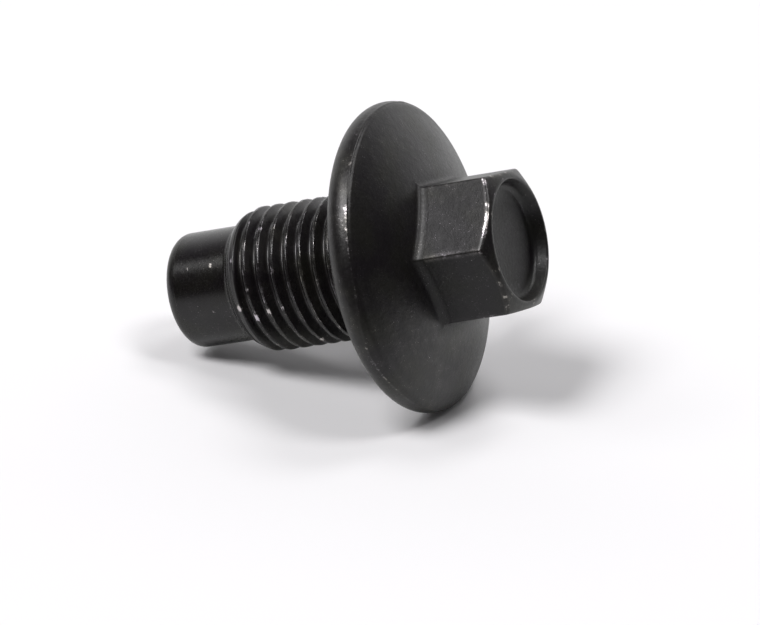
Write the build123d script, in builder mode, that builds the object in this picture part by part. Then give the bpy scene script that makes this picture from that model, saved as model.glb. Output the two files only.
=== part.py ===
from build123d import *
import os
from math import sqrt, tan, radians

# Oil drain plug: hex head, domed flange, M14 threaded shank and a plain pilot, forged as one piece.
# It stands on its hex head: +Z runs up the shank to the pilot tip, and z = 0 is the flange's seat face.

# Hex head
hex_across_flats = 13.0
hex_corner_round = 0.25
head_height = 13.2
head_chamfer_diameter = 12.2
head_chamfer_angle = 30.0
head_base_round = 0.8

# Flat-floored recess in the end of the head
recess_diameter = 11.6
recess_depth = 1.3
recess_wall_draft = 20.0
recess_floor_chamfer = 0.35
recess_mouth_chamfer = 0.12

# Flange
flange_diameter = 29.7
flange_rim_round = 1.75
flange_crease_height = 2.85
dome_radius = 30.0

# Right-hand thread, with a groove that starts in the neck
thread_diameter = 14.0
thread_pitch = 1.5
thread_depth = 0.92
thread_flank_angle = 30.0
thread_crest_width = 0.19
thread_run_out = 0.87

# Neck under the thread
neck_diameter = 12.0
neck_height = 2.5
neck_chamfer_angle = 45.0
neck_foot_chamfer = 0.5

# Lead-in, shoulder and pilot
lead_in_height = 13.3
shoulder_diameter = 12.95
shoulder_height = 14.5
shoulder_length = 0.9
pilot_diameter = 11.1
pilot_end_round = 1.1
tip_height = 22.2

flange_radius = flange_diameter / 2
thread_radius = thread_diameter / 2
neck_radius = neck_diameter / 2
shoulder_radius = shoulder_diameter / 2
pilot_radius = pilot_diameter / 2
recess_radius = recess_diameter / 2
chamfer_radius = head_chamfer_diameter / 2
hex_corner_radius = hex_across_flats / sqrt(3)

# Flange section: a round rim that breaks at a crease into the shallow dome
rim_centre_radius = flange_radius - flange_rim_round
crease_radius = rim_centre_radius + sqrt(flange_rim_round**2 - (flange_crease_height - flange_rim_round) ** 2)
dome_top = flange_crease_height + dome_radius - sqrt(dome_radius**2 - crease_radius**2)
dome_centre = dome_top - dome_radius
hex_base_height = dome_centre + sqrt(dome_radius**2 - hex_corner_radius**2)

# The cut round the head, carried past the hex's corners
chamfer_reach = hex_corner_radius - chamfer_radius + hex_corner_round

# Recess section: the drafted wall narrows down to the floor
floor_radius = recess_radius - recess_depth * tan(radians(recess_wall_draft))
floor_height = recess_depth - head_height

# Groove section: the flanks are drawn on past the crests at their own slope
root_radius = thread_radius - thread_depth
mouth_radius = thread_radius + thread_crest_width / 2
crest_gap = (thread_pitch - thread_crest_width) / 2
root_half = crest_gap - thread_depth * tan(radians(thread_flank_angle))
mouth_half = crest_gap + (mouth_radius - thread_radius) * tan(radians(thread_flank_angle))
groove_start = neck_height - thread_run_out
groove_length = shoulder_height + thread_pitch - groove_start

# Shank section: the neck's chamfer and the lead-in are drawn on past the crests at their own slopes
neck_chamfer = (thread_radius - neck_radius) / tan(radians(neck_chamfer_angle))
blank_radius = 2 * thread_radius - neck_radius
lead_in_slope = (shoulder_height - lead_in_height) / (thread_radius - shoulder_radius)
lead_in_top = lead_in_height - lead_in_slope * (blank_radius - thread_radius)


def corner_at(section, radius, height):
    return section.vertices().sort_by_distance((radius, height))[0]


# Thread groove, a screw long enough to run out of the neck and of the shoulder
with BuildPart() as thread_groove:
    with BuildLine():
        groove_path = Helix(thread_pitch, groove_length, thread_radius - thread_depth / 2, (0, 0, groove_start))
    with BuildSketch(Plane.XZ):
        with BuildLine():
            Polyline(
                (mouth_radius, groove_start - mouth_half),
                (root_radius, groove_start - root_half),
                (root_radius, groove_start + root_half),
                (mouth_radius, groove_start + mouth_half),
                close=True,
            )
        make_face()
    sweep(path=groove_path, is_frenet=True)

with BuildPart() as drain_plug:
    # Shank: a threaded rod turned down to the neck, lead-in, shoulder and pilot
    with Locations((0, 0, -flange_rim_round)):
        Cylinder(thread_radius, tip_height + flange_rim_round, align=(Align.CENTER, Align.CENTER, Align.MIN))
    add(thread_groove.part, mode=Mode.SUBTRACT)
    with BuildSketch(Plane.XZ) as shank_section:
        with BuildLine():
            Polyline(
                (0, -flange_rim_round),
                (neck_radius, -flange_rim_round),
                (neck_radius, neck_height - neck_chamfer),
                (blank_radius, neck_height + neck_chamfer),
                (blank_radius, lead_in_top),
                (shoulder_radius, shoulder_height),
                (pilot_radius, shoulder_height + shoulder_length),
                (pilot_radius, tip_height),
                (0, tip_height),
                close=True,
            )
        make_face()
        fillet(corner_at(shank_section, pilot_radius, tip_height), pilot_end_round)
    revolve(axis=Axis.Z, mode=Mode.INTERSECT)

    # Flange: dome, crease, round rim, flat seat face and the foot of the neck
    with BuildSketch(Plane.XZ) as flange_section:
        foot_height = 2 * neck_foot_chamfer
        with BuildLine():
            RadiusArc((0, -dome_top), (crease_radius, -flange_crease_height), -dome_radius)
            RadiusArc((crease_radius, -flange_crease_height), (rim_centre_radius, 0), -flange_rim_round)
            Polyline(
                (rim_centre_radius, 0),
                (neck_radius, 0),
                (neck_radius, foot_height),
                (0, foot_height),
                (0, -dome_top),
            )
        make_face()
        chamfer(corner_at(flange_section, neck_radius, 0), neck_foot_chamfer)
    revolve(axis=Axis.Z)

    # Hex head, run up into the flange
    with BuildSketch(Plane.XY.offset(-head_height)) as hex_section:
        RegularPolygon(radius=hex_across_flats / 2, side_count=6, major_radius=False, rotation=30)
        fillet(hex_section.vertices(), hex_corner_round)
    extrude(amount=head_height - flange_crease_height)
    dome_line = drain_plug.edges().filter_by_position(Axis.Z, -dome_top, -hex_base_height + hex_corner_round)
    fillet(dome_line, head_base_round)

    # Chamfer round the end of the head
    with BuildSketch(Plane.XZ) as chamfer_section:
        with BuildLine():
            Polyline(
                (chamfer_radius, -head_height),
                (chamfer_radius + chamfer_reach, -head_height),
                (chamfer_radius + chamfer_reach, -head_height + chamfer_reach * tan(radians(head_chamfer_angle))),
                close=True,
            )
        make_face()
    revolve(axis=Axis.Z, mode=Mode.SUBTRACT)

    # Flat-floored recess in the end of the head
    with BuildSketch(Plane.XZ) as recess_section:
        with BuildLine():
            Polyline(
                (0, floor_height),
                (floor_radius, floor_height),
                (recess_radius, -head_height),
                (0, -head_height),
                close=True,
            )
        make_face()
        chamfer(corner_at(recess_section, floor_radius, floor_height), recess_floor_chamfer)
    revolve(axis=Axis.Z, mode=Mode.SUBTRACT)
    chamfer(drain_plug.faces().sort_by(Axis.Z)[0].inner_wires()[0].edges(), recess_mouth_chamfer)

drain_plug.part.label = "drain_plug"

os.makedirs("parts", exist_ok=True)
export_step(drain_plug.part, "parts/drain_plug.step")
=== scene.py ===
from math import cos, pi, radians, sin, tan

import bpy
import numpy as np
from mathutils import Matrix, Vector


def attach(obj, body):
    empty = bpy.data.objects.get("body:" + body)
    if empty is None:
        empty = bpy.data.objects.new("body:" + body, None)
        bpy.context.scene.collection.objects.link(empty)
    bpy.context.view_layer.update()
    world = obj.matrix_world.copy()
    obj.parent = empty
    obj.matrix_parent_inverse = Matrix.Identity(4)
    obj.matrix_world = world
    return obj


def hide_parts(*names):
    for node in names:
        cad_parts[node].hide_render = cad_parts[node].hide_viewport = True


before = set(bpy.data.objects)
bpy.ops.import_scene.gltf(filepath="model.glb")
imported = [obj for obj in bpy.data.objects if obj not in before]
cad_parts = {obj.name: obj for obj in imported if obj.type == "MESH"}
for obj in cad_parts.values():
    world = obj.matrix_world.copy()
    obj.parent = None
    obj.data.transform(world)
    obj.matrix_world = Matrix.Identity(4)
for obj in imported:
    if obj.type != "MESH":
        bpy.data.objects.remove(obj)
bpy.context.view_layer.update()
scene = bpy.context.scene
scene.view_settings.view_transform = "Standard"
MM = 0.001

# The photograph's view: a long lens, below the flange's plane, that looks at the chamfered end of the head
VIEWPOINT = Vector((0.024669, -0.423356, -0.208518))
long_lens = bpy.data.cameras.new("camera")
long_lens.sensor_width = 36.0
long_lens.lens = 236.84
long_lens.clip_end = 10.0
camera = bpy.data.objects.new("camera", long_lens)
camera.location = VIEWPOINT
camera.rotation_euler = (-2.848879, 1.086976, 1.96834)
scene.collection.objects.link(camera)
scene.camera = camera

# The plug's sizes in millimetres, as in the part's source
HEX_FLAT, HEX_ROUND = 6.5, 0.25
HEAD_END = -13.2
CHAMFER_START, CHAMFER_SLOPE = 6.1, tan(radians(30))
MOUTH, RECESS_DEPTH, RECESS_FLOOR = 5.8, 1.3, 5.33
DOME_RADIUS, DOME_CENTRE = 30.0, 23.4345
RIM_CENTRE, RIM_ROUND, CREASE_ANGLE = 13.1, 1.75, radians(38.9)
CREASE = RIM_CENTRE + RIM_ROUND * cos(CREASE_ANGLE)
NECK, NECK_FOOT, NECK_END = 6.0, 0.5, 1.5
CREST, ROOT, PITCH, GROOVE_START = 7.0, 6.08, 1.5, 1.63
PILOT, PILOT_START, TIP, TIP_ROUND = 5.55, 15.4, 22.2, 1.1

# How far the round or the softening of each edge reaches from its corner
FLOOR_REACH, MOUTH_REACH, END_REACH, CHAMFER_REACH, BASE_REACH, NECK_REACH = 0.5, 0.13, 0.16, 0.34, 0.8, 0.45
# The largest share of a straight stretch that a softened corner may take
MOST_OF_SIDE = 0.48
# How steeply the wear on a softened corner sets in from its two ends
WEAR_ONSET = 7
# The recess floor is slightly dished: a radius on it, how far it rises there, and how far in the middle
DISH_RADIUS, DISH_EDGE_RISE, DISH_RISE = 4.2, 0.03, 0.1
# The corners of the hex are rubbed where they are this far from the axis
RUBBED_CORNER, RUBBED_WIDTH = 7.43, 0.1
# The dome's rows start this far past the hex, and its sunk band, painted darker as shade by the crease, is
# this wide and deep
PAST_HEX, BAND, BAND_DEPTH = 1.2, 0.8, 0.02
# The rows stop this near to the axis, where a cap closes the skin
MIDDLE = 0.02

# The turned blank of the shank, as heights and radii: neck, thread, lead-in, shoulder and pilot
BLANK = ((NECK_END, NECK), (2.5, CREST), (13.3, CREST), (14.42, 6.5), (14.6, 6.38), (PILOT_START, PILOT))
# Half of the groove's section, as distances from its middle and radii: root, flank and softened crest
GROOVE = ((0, ROOT), (0.07, ROOT + 0.01), (0.15, 6.16), (0.3, 6.42), (0.45, 6.685),
          (0.54, 6.84), (0.59, 6.94), (0.63, 6.99), (0.67, 6.985), (0.75, 6.955))
# Where the crest is rubbed, as distances from the groove's middle and shares
CREST_RUB = ((0.56, 0), (0.61, 1), (0.66, 1), (0.71, 0.25))
# The film of rubbed metal on the hex's sides, as bearings in degrees and shares. The shares also paint each
# side lighter or darker for how the light falls on it, as painted light and shade.
SIDE_FILM_AND_PAINTED_LIGHT = ((-91, 0.05), (-90, 0.24), (-30, 0.24), (-29, 0.45), (30, 0.45), (31, 0.3))
# Bright knocks on the shank: height, bearing in degrees and size
KNOCKS = ((14.05, -67, 0.2), (13.95, -107, 0.3), (12.4, -116, 0.26), (10.9, -112, 0.16), (9.6, -81, 0.2),
          (7.6, -154, 0.18), (16.95, -64, 0.22), (19.5, -64, 0.17), (17.5, -110, 0.13))
# Small dents in the crests, and the radii above which a nick is cut, shows bright, and a knock shows
NICKS, NICKED_FROM, BRIGHT_FROM, KNOCKED_FROM = 150, 6.85, 6.8, 6.4
# The blank is full enough for a rubbed crest above this radius
CREST_FROM = 6.9
# Heights on the shank: the last row before the pilot, where the haze ends and where the gloss is full
LAST_ROW, HAZE_END, GLOSS_START = 15.36, 13.6, 14.2

rng = np.random.default_rng(14)


def dome_height(r):
    return DOME_CENTRE - np.sqrt(DOME_RADIUS**2 - r**2)


def hex_radius(theta):
    """Distance from the axis to the hex's side, with its corners rounded."""
    off_flat = np.mod(theta + pi / 6, pi / 3) - pi / 6
    off_corner = np.mod(theta, pi / 3) - pi / 6
    centre = (HEX_FLAT - HEX_ROUND) / cos(pi / 6)
    inside = np.clip(HEX_ROUND**2 - (centre * np.sin(off_corner)) ** 2, 0, None)
    rounded = centre * np.cos(off_corner) + np.sqrt(inside)
    on_corner = np.abs(off_corner) < np.arctan2(HEX_ROUND / 2, centre + HEX_ROUND * cos(pi / 6))
    return np.where(on_corner, rounded, HEX_FLAT / np.cos(off_flat))


def columns(per_side):
    """Angles round the axis, closer together at the hex's six corners."""
    t = np.arange(-per_side // 2, per_side // 2) / (per_side / 2)
    side = radians(30) * (0.5 * t + 0.5 * t**3)
    return np.concatenate([side + radians(30) + k * pi / 3 for k in range(6)])


def turn_from(theta, angle):
    """Signed angle from one bearing, by the shorter way round."""
    return np.mod(theta - angle + pi, 2 * pi) - pi


def towards(theta, degrees, spread):
    """1 at one bearing from the axis, fading out on both sides of it."""
    return np.exp(-((turn_from(theta, radians(degrees)) / radians(spread)) ** 2))


def read_off(value, pairs):
    """Straight lines between the pairs given."""
    return np.interp(value, *zip(*pairs))


def ripple(theta, waves, seed):
    """A smooth closed wave round the axis, between about -1 and 1."""
    own = np.random.default_rng(seed)
    total = sum(own.normal() * np.cos(k * theta + own.uniform(0, 2 * pi)) for k in waves)
    return total / np.sqrt(len(waves))


theta = columns(46)
side = hex_radius(theta)


class Skin:
    """The plug's surface from the middle of the head to the tip: rows of points, each once round the axis."""

    def __init__(self):
        self.places, self.marks = [], []

    def row(self, r, z, worn=0.0, gloss=0.0, haze=0.0):
        """Points at a radius and a height, with how worn, how glossy and how hazed they are. The haze also
        carries painted light and shade on the dome and the hex's sides.
        """
        self.places.append(np.broadcast_arrays(r, z, theta)[:2])
        self.marks.append(np.broadcast_arrays(worn, gloss, haze, theta)[:3])

    def run(self, start, end, count, **marks):
        """Rows along a straight line, its ends left out."""
        for t in np.linspace(0, 1, count + 2)[1:-1]:
            self.row(start[0] + (end[0] - start[0]) * t, start[1] + (end[1] - start[1]) * t, **marks)

    def bend(self, before, corner, after, reach, count, worn=0.0, **marks):
        """Rows round a softened corner, worn all along but for its two ends."""
        places = [np.array(np.broadcast_arrays(*p, theta)[:2], float) for p in (before, corner, after)]
        a, b = (p - places[1] for p in (places[0], places[2]))
        a, b = (v * np.minimum(reach / np.hypot(*v), MOST_OF_SIDE) for v in (a, b))
        for t in np.linspace(0, 1, count):
            wear = worn * min(1, WEAR_ONSET * t * (1 - t))
            self.row(*(places[1] + a * (1 - t) ** 2 + b * t**2), worn=wear, **marks)


skin = Skin()


def recess():
    """A shallow floor that rounds up into the drafted wall."""
    floor_height = HEAD_END + RECESS_DEPTH
    middle, floor_edge = (MIDDLE, floor_height + DISH_RISE), (DISH_RADIUS, floor_height + DISH_EDGE_RISE)
    foot, mouth = (RECESS_FLOOR, floor_height), (MOUTH, HEAD_END)
    mouth_wear = 0.3 + 0.25 * towards(theta, -80, 45)
    skin.row(*middle, gloss=-0.8)
    skin.run(middle, floor_edge, 8, gloss=-0.8)
    skin.bend(floor_edge, foot, mouth, FLOOR_REACH, 7)
    skin.bend(foot, mouth, (CHAMFER_START, HEAD_END), MOUTH_REACH, 4, worn=mouth_wear, haze=0.2)


def hex_head():
    """End face, chamfer, hex sides and the round at their base, rubbed most on the upper front edge."""
    start = CHAMFER_START, HEAD_END
    chamfer_edge = HEAD_END + (side - CHAMFER_START) * CHAMFER_SLOPE
    edge = side, chamfer_edge
    base = dome_height(side)
    skin.bend((MOUTH, HEAD_END), start, edge, END_REACH, 4, worn=0.3)

    slant = np.array([side - CHAMFER_START, chamfer_edge - HEAD_END])
    slant_length = np.hypot(*slant)
    parts = END_REACH / slant_length, 1 - np.minimum(CHAMFER_REACH / slant_length, MOST_OF_SIDE)
    skin.run(*[np.array([[CHAMFER_START], [HEAD_END]]) + slant * part for part in parts], 3, haze=0.3)

    edge_wear = 0.25 + 0.42 * towards(theta, -62, 20) + 0.18 * towards(theta, -120, 30)
    edge_wear = edge_wear + 0.17 * ripple(theta, range(6, 40), 3)
    bearing = np.mod(np.degrees(theta) + 180, 360) - 180
    # Each side's share of film also paints it lighter or darker, as painted light and shade.
    side_haze = read_off(bearing, SIDE_FILM_AND_PAINTED_LIGHT)
    edge_haze = side_haze + edge_wear * 1.5
    skin.bend(start, edge, (side, base), CHAMFER_REACH, 9, worn=edge_wear, haze=edge_haze)

    on_corner = np.exp(-(((side - RUBBED_CORNER) / RUBBED_WIDTH) ** 2))
    corner_haze = side_haze + on_corner * (0.5 + 1.6 * towards(theta, -90, 20))
    for t in np.linspace(0.06, 0.86, 16):
        knock = rng.uniform(0.1, 0.4)
        skin.row(side, chamfer_edge + (base - chamfer_edge) * t, worn=on_corner * knock, haze=corner_haze)
    past_base = side + PAST_HEX, dome_height(side + PAST_HEX)
    skin.bend(edge, (side, base), past_base, BASE_REACH, 8, gloss=-0.3, haze=side_haze * 0.6)


def dome():
    """The flange's front, painted greyer low down and at the top as a stand-in for brighter reflections
    there. Its band by the crease is sunk and painted darker as shade.
    """
    dome_haze = 0.1 + 0.38 * towards(theta, -165, 60) + 0.2 * towards(theta, -20, 40)
    for t in np.linspace(0, 1, 28)[1:]:
        r = side + PAST_HEX + (CREASE - BAND - side - PAST_HEX) * t
        clear_of_band = np.clip((CREASE - BAND - r) / BAND, 0, 1)
        sunk = BAND_DEPTH * (1 - clear_of_band) * t
        # Less haze on the band paints a shade by the crease; more haze low down and at the top paints
        # brighter reflections.
        skin.row(r, dome_height(r) + sunk, haze=dome_haze * (0.3 + 0.7 * clear_of_band))


def rim_place(angle, out=0.0):
    """A place on the rim's round section, by its angle below the widest circle."""
    return RIM_CENTRE + (RIM_ROUND + out) * np.cos(angle), -RIM_ROUND - (RIM_ROUND + out) * np.sin(angle)


def rim():
    """The crease and the round rim. A rubbed ridge wanders between the crease and the widest circle."""
    ridge = radians(27) + radians(9) * towards(theta, -88, 12) - radians(16) * towards(theta, -122, 18)
    ridge = ridge + radians(2) * ripple(theta, range(2, 12), 8)
    ridge_wear = 0.22 + 0.07 * ripple(theta, range(12, 50), 5) + 0.22 * towards(theta, -54, 13)
    ridge_wear = ridge_wear + 0.24 * towards(theta, -80, 14) + 0.2 * towards(theta, -126, 22)
    ridge_lift = 0.05 + 0.02 * ripple(theta, range(8, 40), 9)
    rim_haze = 0.4 + 0.25 * towards(theta, -56, 26)

    before = CREASE - BAND, dome_height(CREASE - BAND) + BAND_DEPTH
    crease_reach = 0.55 - 0.37 * towards(theta, -45, 55)
    skin.bend(before, rim_place(CREASE_ANGLE), rim_place(radians(25)), crease_reach, 8, haze=0.25)
    for angle in np.concatenate([np.linspace(radians(30), 0, 17), np.linspace(0, radians(-90), 18)[1:]]):
        near_ridge = np.exp(-(((angle - ridge) / radians(5)) ** 2))
        rubbed = np.exp(-(((angle - ridge + radians(4)) / radians(9)) ** 2))
        skin.row(*rim_place(angle, ridge_lift * near_ridge), worn=ridge_wear * rubbed, haze=rim_haze)


def seat():
    """The flat seat face, up to the foot of the neck."""
    skin.run((RIM_CENTRE, 0), (NECK + NECK_FOOT, 0), 7)
    skin.bend((RIM_CENTRE, 0), (NECK, 0), (NECK, NECK_END), NECK_REACH, 6, gloss=0.5)


def thread(z):
    """Radius and crest along one row: a right-hand groove cut into the turned blank, its crests softened."""
    off_groove = np.abs(np.mod((z - GROOVE_START) / PITCH - theta / (2 * pi) + 0.5, 1) - 0.5) * PITCH
    blank = read_off(z, BLANK)
    crest = read_off(off_groove, CREST_RUB) * (blank > CREST_FROM)
    return np.minimum(blank, read_off(off_groove, GROOVE)), crest


def knocked(z):
    """Wear from the knocks, along the row at one height."""
    total = np.zeros_like(theta)
    for height, bearing, size in KNOCKS:
        along = turn_from(theta, radians(bearing)) * PILOT
        total += np.exp(-(along**2 + (z - height) ** 2) / size**2)
    return total


def random_nick():
    """A small dent in a crest: height, bearing, size and depth."""
    return rng.uniform(2.6, 13.4), rng.uniform(-pi, pi), rng.uniform(0.12, 0.35), rng.uniform(0.03, 0.09)


def threaded_length():
    """Neck, thread, lead-in and shoulder, the crests nicked here and there."""
    nicks = [random_nick() for _ in range(NICKS)]
    for z in np.linspace(NECK_END, LAST_ROW, 152):
        r, crest = thread(z)
        dent = np.zeros_like(theta)
        for height, bearing, size, depth in nicks:
            if abs(z - height) < size:
                off = turn_from(theta, bearing) * CREST
                bowl = np.clip(1 - (off / size) ** 2 - ((z - height) / size) ** 2, 0, 1)
                dent = np.maximum(dent, depth * bowl)
        wear = 0.42 * crest + 6 * dent * (r > BRIGHT_FROM) + knocked(z) * (r > KNOCKED_FROM)
        gloss = 0.3 + 0.7 * np.maximum(crest, z > GLOSS_START)
        skin.row(r - dent * (r > NICKED_FROM), z, worn=wear, gloss=gloss, haze=0.6 * (z < HAZE_END))


def pilot():
    """The plain pilot, its rounded end and its flat tip."""
    for z in np.linspace(PILOT_START, TIP - TIP_ROUND - 0.1, 26):
        skin.row(PILOT, z, worn=knocked(z), gloss=0.9, haze=0.1)
    for angle in np.linspace(0, pi / 2, 9):
        r, z = PILOT - TIP_ROUND * (1 - cos(angle)), TIP - TIP_ROUND * (1 - sin(angle))
        skin.row(r, z, gloss=0.5, haze=0.1)
    skin.run((PILOT - TIP_ROUND, TIP), (MIDDLE, TIP), 5)
    skin.row(MIDDLE, TIP)


def plug_mesh():
    """The rows joined into one closed mesh, with the three marks kept on its points."""
    places = np.array(skin.places, float)
    r, z = places[:, 0], places[:, 1]
    points = np.stack([r * np.cos(theta), r * np.sin(theta), z], 2).reshape(-1, 3)
    rows, cols = r.shape
    index = np.arange(rows * cols).reshape(rows, cols)
    turned = np.roll(index, -1, 1)
    quads = np.stack([index[:-1], index[1:], turned[1:], turned[:-1]], 2).reshape(-1, 4).tolist()
    head_middle, tip_middle = rows * cols, rows * cols + 1
    caps = [(head_middle, a, b) for a, b in zip(index[0].tolist(), turned[0].tolist())]
    caps += [(tip_middle, b, a) for a, b in zip(index[-1].tolist(), turned[-1].tolist())]
    middles = [[0, 0, z[0, 0]], [0, 0, z[-1, 0]]]
    mesh = bpy.data.meshes.new("drain_plug_skin")
    mesh.from_pydata((np.concatenate([points, middles]) * MM).tolist(), [], quads + caps)
    mesh.shade_smooth()
    marks = np.array(skin.marks, float)
    for i, name in enumerate(("worn", "gloss", "haze")):
        values = np.concatenate([marks[:, i].ravel(), [marks[0, i, 0], marks[-1, i, 0]]])
        mesh.attributes.new(name, "FLOAT", "POINT").data.foreach_set("value", values.astype(np.float32))
    return mesh


for sub_part in (recess, hex_head, dome, rim, seat, threaded_length, pilot):
    sub_part()
plug = bpy.data.objects.new("drain_plug_skin", plug_mesh())
scene.collection.objects.link(plug)
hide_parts("drain_plug")
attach(plug, "root")


class Wire:
    """A node's output. Arithmetic with other wires or with numbers adds the Math node for it."""

    def __init__(self, tree, socket):
        self.tree, self.socket = tree, socket

    def math(self, operation, *others):
        return self.tree.node("ShaderNodeMath", {"operation": operation}, dict(enumerate((self, *others))))

    def __add__(self, other):
        return self.math("ADD", other)

    def __sub__(self, other):
        return self.math("SUBTRACT", other)

    def __mul__(self, other):
        return self.math("MULTIPLY", other)

    def __rsub__(self, other):
        return self * -1.0 + other

    __radd__, __rmul__ = __add__, __mul__

    def step(self, low, high):
        """0 below low, 1 above high and smooth between them."""
        values = {"Value": self, "From Min": low, "From Max": high}
        return self.tree.node("ShaderNodeMapRange", {"interpolation_type": "SMOOTHSTEP"}, values)


class Tree:
    """The emptied node tree of a material or of the world."""

    def __init__(self, owner):
        owner.use_nodes = True
        self.nodes, self.links = owner.node_tree.nodes, owner.node_tree.links
        self.nodes.clear()

    def node(self, kind, settings, values, output=0):
        """Adds a node: its settings first, then a value or a wire for each socket named."""
        node = self.nodes.new(kind)
        for name, value in settings.items():
            setattr(node, name, value)
        for name, value in values.items():
            if isinstance(value, Wire):
                self.links.new(value.socket, node.inputs[name])
            else:
                node.inputs[name].default_value = value
        return Wire(self, node.outputs[output]) if len(node.outputs) else None

    def millimetres(self):
        place = self.node("ShaderNodeTexCoord", {}, {}, "Object")
        return self.node("ShaderNodeVectorMath", {"operation": "SCALE"}, {"Vector": place, "Scale": 1000.0})

    def along(self, place, direction):
        """How far a place lies along a fixed direction."""
        values = {0: place, 1: direction[:]}
        return self.node("ShaderNodeVectorMath", {"operation": "DOT_PRODUCT"}, values, "Value")

    def noise(self, place, per_mm, detail=3.0, distortion=0.0):
        values = {"Vector": place, "Scale": per_mm, "Detail": detail, "Distortion": distortion}
        return self.node("ShaderNodeTexNoise", {}, values)

    def colour(self, factor, first, second):
        """Two colours mixed. A Mix node's colour sockets are 6 and 7, and 2 is their result."""
        return self.node("ShaderNodeMix", {"data_type": "RGBA"}, {0: factor, 6: first, 7: second}, 2)

    def mark(self, name):
        return self.node("ShaderNodeAttribute", {"attribute_name": name}, {}, "Fac")

    def camera_sees(self):
        return self.node("ShaderNodeLightPath", {}, {}, "Is Camera Ray")


def rgb(red, green, blue):
    return (red, green, blue, 1.0)


def black_steel():
    """Black oxide on forged steel: satin head and flange, glossier shank, edges rubbed bright."""
    material = bpy.data.materials.new("black_steel")
    tree = Tree(material)
    place = tree.millimetres()
    worn, gloss, haze = tree.mark("worn"), tree.mark("gloss"), tree.mark("haze")
    cloud = tree.noise(place, 0.25, 4.0, 0.4)
    patch = tree.noise(place, 0.9, 4.0, 0.3)
    blot = tree.noise(place, 2.2, 3.0)
    grain = tree.noise(place, 4.5, 3.0)
    fine = tree.noise(place, 11.0, 2.0)

    rubbed = (worn + (patch - 0.5) * 0.9 + (blot - 0.5) * 0.8 + (grain - 0.5) * 0.6).step(0.38, 0.9)
    flecks = (fine + (patch - 0.5) * 0.3).step(0.715, 0.76) * (0.35 + haze * 0.5)
    clouded = 0.004 + cloud.step(0.42, 0.62) * 0.022 + patch.step(0.4, 0.65) * 0.032
    # The haze adds film and dust, and on the dome and the hex's sides it also adds painted light and shade.
    film_and_painted_light = haze * (clouded + (blot + grain).step(0.9, 1.25) * 0.025)
    bare_and_painted_light = rubbed.math("MAXIMUM", flecks) + film_and_painted_light

    tint = cloud.step(0.35, 0.7)
    dark = tree.colour(tint, rgb(0.0038, 0.0023, 0.0040), rgb(0.0046, 0.0041, 0.0027))
    dusty_and_painted_light = tree.colour(haze * (0.35 + patch.step(0.45, 0.75) * 0.65), dark, rgb(0.0150, 0.0138, 0.0122))

    satin = 0.385 + (grain - 0.5) * 0.25 + (cloud - 0.5) * 0.15
    roughness = satin - gloss * 0.16
    relief = patch * 0.8 + blot * 0.45 + grain * 0.38 + fine * 0.18
    height = relief * (0.032 - gloss * 0.024)
    bump = tree.node("ShaderNodeBump", {}, {"Strength": 1.0, "Distance": MM, "Height": height})

    sheen = tree.colour(tint, rgb(0.57, 0.52, 0.58), rgb(0.57, 0.54, 0.47))
    values = {"Base Color": dusty_and_painted_light, "Roughness": roughness, "IOR": 1.45, "Normal": bump}
    coat = tree.node("ShaderNodeBsdfPrincipled", {}, values)
    values = {"Base Color": sheen, "Metallic": 1.0, "Roughness": roughness - 0.04, "Normal": bump}
    steel = tree.node("ShaderNodeBsdfPrincipled", {}, values)
    surface = tree.node("ShaderNodeMixShader", {}, {0: bare_and_painted_light, 1: coat, 2: steel})
    tree.node("ShaderNodeOutputMaterial", {}, {"Surface": surface})
    return material


plug.data.materials.append(black_steel())

# The table under the plug: the bearing at which the rim touches it, and its lean to the plug's axis
contact, lean = radians(166.857), radians(20.9)
table_up = -Vector((cos(lean) * cos(contact), cos(lean) * sin(contact), sin(lean)))
rim_touch = Vector((RIM_CENTRE * cos(contact), RIM_CENTRE * sin(contact), -RIM_ROUND)) - table_up * RIM_ROUND
# Directions along the table: to the near side, where the photograph was taken from, and to its right
sight = VIEWPOINT.normalized()
near = (sight - table_up * sight.dot(table_up)).normalized()
right = table_up.cross(near).normalized()
# The table's near edge lies past the picture's lower edge
NEAR_EDGE, FAR_EDGE = 66.0, 900.0


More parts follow.
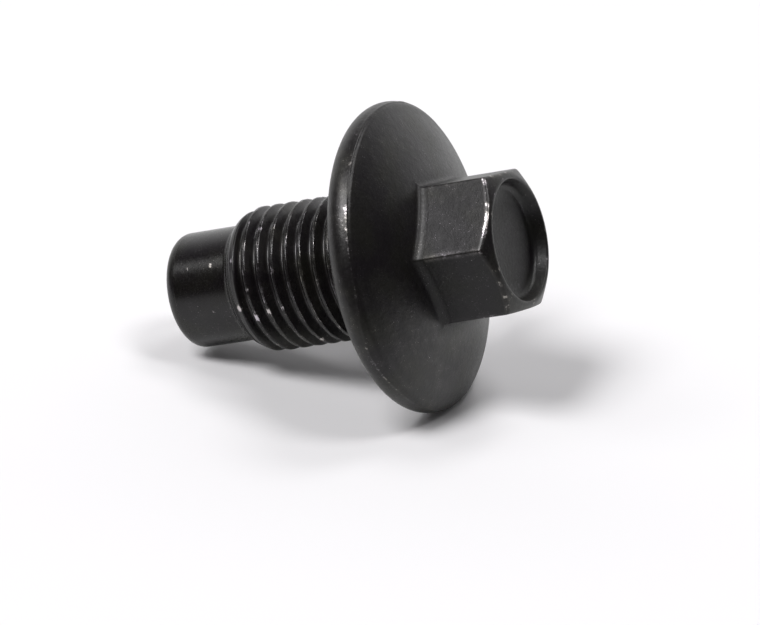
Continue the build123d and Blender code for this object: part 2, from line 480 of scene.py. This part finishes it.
def table_white():
    """White paper, clear from below. What the plug reflects of it carries a painted shade that darkens
    towards its near edge.
    """
    material = bpy.data.materials.new("table_white")
    tree = Tree(material)
    values = {0: tree.millimetres(), 1: rim_touch[:]}
    from_touch = tree.node("ShaderNodeVectorMath", {"operation": "SUBTRACT"}, values)
    shade = tree.along(from_touch, near).step(-5.0, NEAR_EDGE)
    # Painted shade, seen only in reflections: the paper darkens towards its near edge.
    reflected_shade = tree.colour(shade, rgb(0.85, 0.85, 0.85), rgb(0.2, 0.2, 0.2))
    paper_colour = tree.colour(tree.camera_sees(), reflected_shade, rgb(0.868, 0.855, 0.873))
    values = {"Base Color": paper_colour, "Roughness": 1.0, "Specular IOR Level": 0.0}
    paper = tree.node("ShaderNodeBsdfPrincipled", {}, values)
    below = tree.node("ShaderNodeNewGeometry", {}, {}, "Backfacing")
    clear = tree.node("ShaderNodeBsdfTransparent", {}, {})
    surface = tree.node("ShaderNodeMixShader", {}, {0: below, 1: paper, 2: clear})
    tree.node("ShaderNodeOutputMaterial", {}, {"Surface": surface})
    return material


def stage_table():
    """One flat sheet, from the near edge to far behind the plug."""
    edges = (NEAR_EDGE, -FAR_EDGE), (NEAR_EDGE, FAR_EDGE), (-FAR_EDGE, FAR_EDGE), (-FAR_EDGE, -FAR_EDGE)
    corners = [(rim_touch + near * ahead + right * across) * MM for ahead, across in edges]
    mesh = bpy.data.meshes.new("table")
    mesh.from_pydata(corners, [], [(0, 1, 2, 3)])
    mesh.materials.append(table_white())
    table = bpy.data.objects.new("table", mesh)
    scene.collection.objects.link(table)


def lamp(name, height, bearing, width, light):
    """A soft lamp, in degrees over the table and round it from the near side to the right.

    Lamps whose light adds up to 1 make white paper white.
    """
    over, round_it = radians(height), radians(bearing)
    toward = (near * cos(round_it) + right * sin(round_it)) * cos(over) + table_up * sin(over)
    sun = bpy.data.lights.new(name, "SUN")
    sun.angle = radians(width)
    sun.energy = pi * light / sin(over)
    holder = bpy.data.objects.new(name, sun)
    holder.rotation_euler = toward.to_track_quat("Z", "Y").to_euler()
    scene.collection.objects.link(holder)


def room():
    """A pale room: white low down behind the plug, dark on the near side. The camera sees only white."""
    world = bpy.data.worlds.new("room")
    tree = Tree(world)
    way = tree.node("ShaderNodeTexCoord", {}, {}, "Generated")
    behind = 1.0 - tree.along(way, near).step(-0.75, -0.1)
    light = 0.05 + behind * (1.0 - tree.along(way, table_up).step(0.4, 0.8) * 0.85)
    strength = light.math("MAXIMUM", tree.camera_sees())
    background = tree.node("ShaderNodeBackground", {}, {"Color": rgb(1, 1, 1), "Strength": strength})
    tree.node("ShaderNodeOutputWorld", {}, {"Surface": background})
    return world


stage_table()
lamp("left", 54, -46, 22, 0.54)
lamp("low_left", 45, -79, 22, 0.078)
lamp("over_right", 67, 64, 19, 0.23)
lamp("back_right", 66, 144, 18, 0.14)
scene.world = room()
